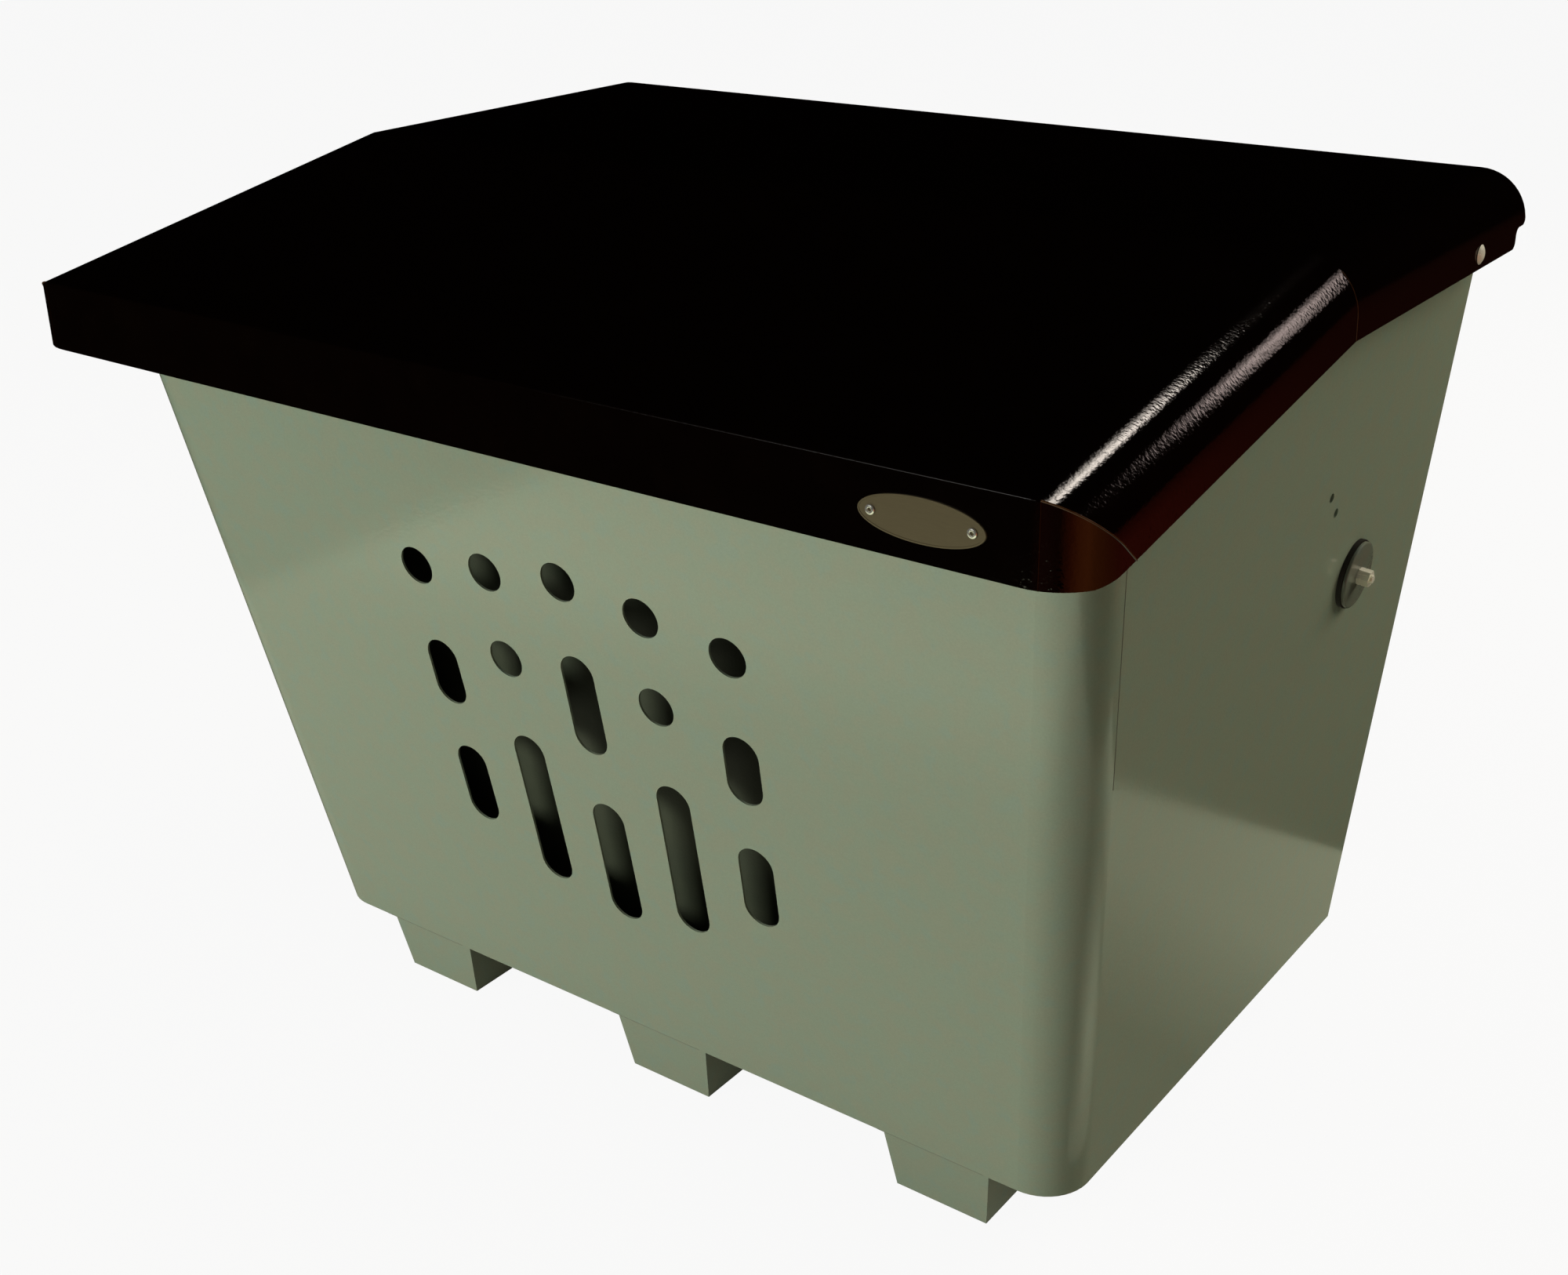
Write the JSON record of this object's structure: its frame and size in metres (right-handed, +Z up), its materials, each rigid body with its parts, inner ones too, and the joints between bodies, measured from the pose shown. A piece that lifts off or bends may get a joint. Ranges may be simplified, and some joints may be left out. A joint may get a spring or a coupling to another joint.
{
  "type": "grit salt bin",
  "caption": "Street grit salt bin with a tapered sheet-metal body on fork skids, a perforated front, an inner tub and a ridged hinged lid on gas springs.",
  "frame": {"origin": "on the ground under the middle of the bin's bounding box", "axes": "+X along the width, to the right seen from the front, +Y from the front to the back, +Z up"},
  "size_m": [1.0264, 0.7522, 0.799],
  "materials": {
    "body_paint": "glossy sage green powder coat on sheet steel",
    "lid_paint": "glossy dark brown powder coat on sheet steel",
    "tub_plastic": "moulded grey-green plastic",
    "black_rubber": "matt black rubber",
    "nylon": "black nylon",
    "black_tube": "black painted steel",
    "zinc_steel": "bright zinc-plated steel",
    "plate_metal": "satin metal plate, blank",
    "rivet_metal": "bright blind rivets"
  },
  "bodies": {
    "bin": {"anchor_ball_studs": "zinc_steel", "anchor_cover_discs": "body_paint", "anchor_lock_nuts": "zinc_steel", "anchor_nuts": "zinc_steel", "anchor_rubber_discs": "black_rubber", "anchor_sleeves": "nylon", "back_panel": "body_paint", "floor_plate": "body_paint", "front_panel": "body_paint", "hinge_bolts": "zinc_steel", "hinge_bosses": "body_paint", "hinge_bushes": "nylon", "lid_stops": "black_rubber", "rim_frame": "body_paint", "rim_seal": "black_rubber", "salt_tub": "tub_plastic", "side_panel_left": "body_paint", "side_panel_right": "body_paint", "skid_front_caps": "body_paint", "skid_left": "body_paint", "skid_middle": "body_paint", "skid_rear_caps": "body_paint", "skid_right": "body_paint", "tub_rivets": "zinc_steel"},
    "lid": {"lid_back_plate": "lid_paint", "lid_corner_left": "lid_paint", "lid_corner_right": "lid_paint", "lid_front_band": "lid_paint", "lid_front_shell": "lid_paint", "lid_rear_shell": "lid_paint", "lid_seam_strap": "lid_paint", "name_plate": "plate_metal", "name_plate_rivets": "rivet_metal", "spring_bracket_left": "lid_paint", "spring_bracket_right": "lid_paint"},
    "spring_rod_left": {"lower_socket_left": "black_tube", "piston_rod_left": "zinc_steel", "piston_left": "zinc_steel"},
    "spring_tube_left": {"gas_tube_left": "black_tube", "rod_guide_left": "nylon", "upper_eye_left": "black_tube", "upper_pin_left": "zinc_steel"},
    "spring_rod_right": {"lower_socket_right": "black_tube", "piston_rod_right": "zinc_steel", "piston_right": "zinc_steel"},
    "spring_tube_right": {"gas_tube_right": "black_tube", "rod_guide_right": "nylon", "upper_eye_right": "black_tube", "upper_pin_right": "zinc_steel"}
  },
  "joints": [
    {"name": "lid_hinge", "type": "hinge", "parent": "bin", "child": "lid", "pos_m": [0, 0.2675, 0.7514], "axis": [-1, 0, 0], "range_deg": [0, 45]},
    {"name": "spring_swing_left", "type": "hinge", "parent": "bin", "child": "spring_rod_left", "pos_m": [-0.41393, 0.1879, 0.49826], "axis": [-1, 0, 0], "range_deg": [0, 25]},
    {"name": "spring_slide_left", "type": "slide", "parent": "spring_rod_left", "child": "spring_tube_left", "axis": [0, -0.6641, 0.7477], "range_m": [0, 0.15]},
    {"name": "spring_swing_right", "type": "hinge", "parent": "bin", "child": "spring_rod_right", "pos_m": [0.41393, 0.1879, 0.49826], "axis": [-1, 0, 0], "range_deg": [0, 25]},
    {"name": "spring_slide_right", "type": "slide", "parent": "spring_rod_right", "child": "spring_tube_right", "axis": [0, -0.6641, 0.7477], "range_m": [0, 0.15]}
  ],
  "couplings": [
    {"joint": "spring_swing_left", "follows": "lid_hinge", "ratio": 0.55491},
    {"joint": "spring_slide_left", "follows": "lid_hinge", "m_per_rad": 0.19074},
    {"joint": "spring_swing_right", "follows": "lid_hinge", "ratio": 0.55491},
    {"joint": "spring_slide_right", "follows": "lid_hinge", "m_per_rad": 0.19074}
  ]
}
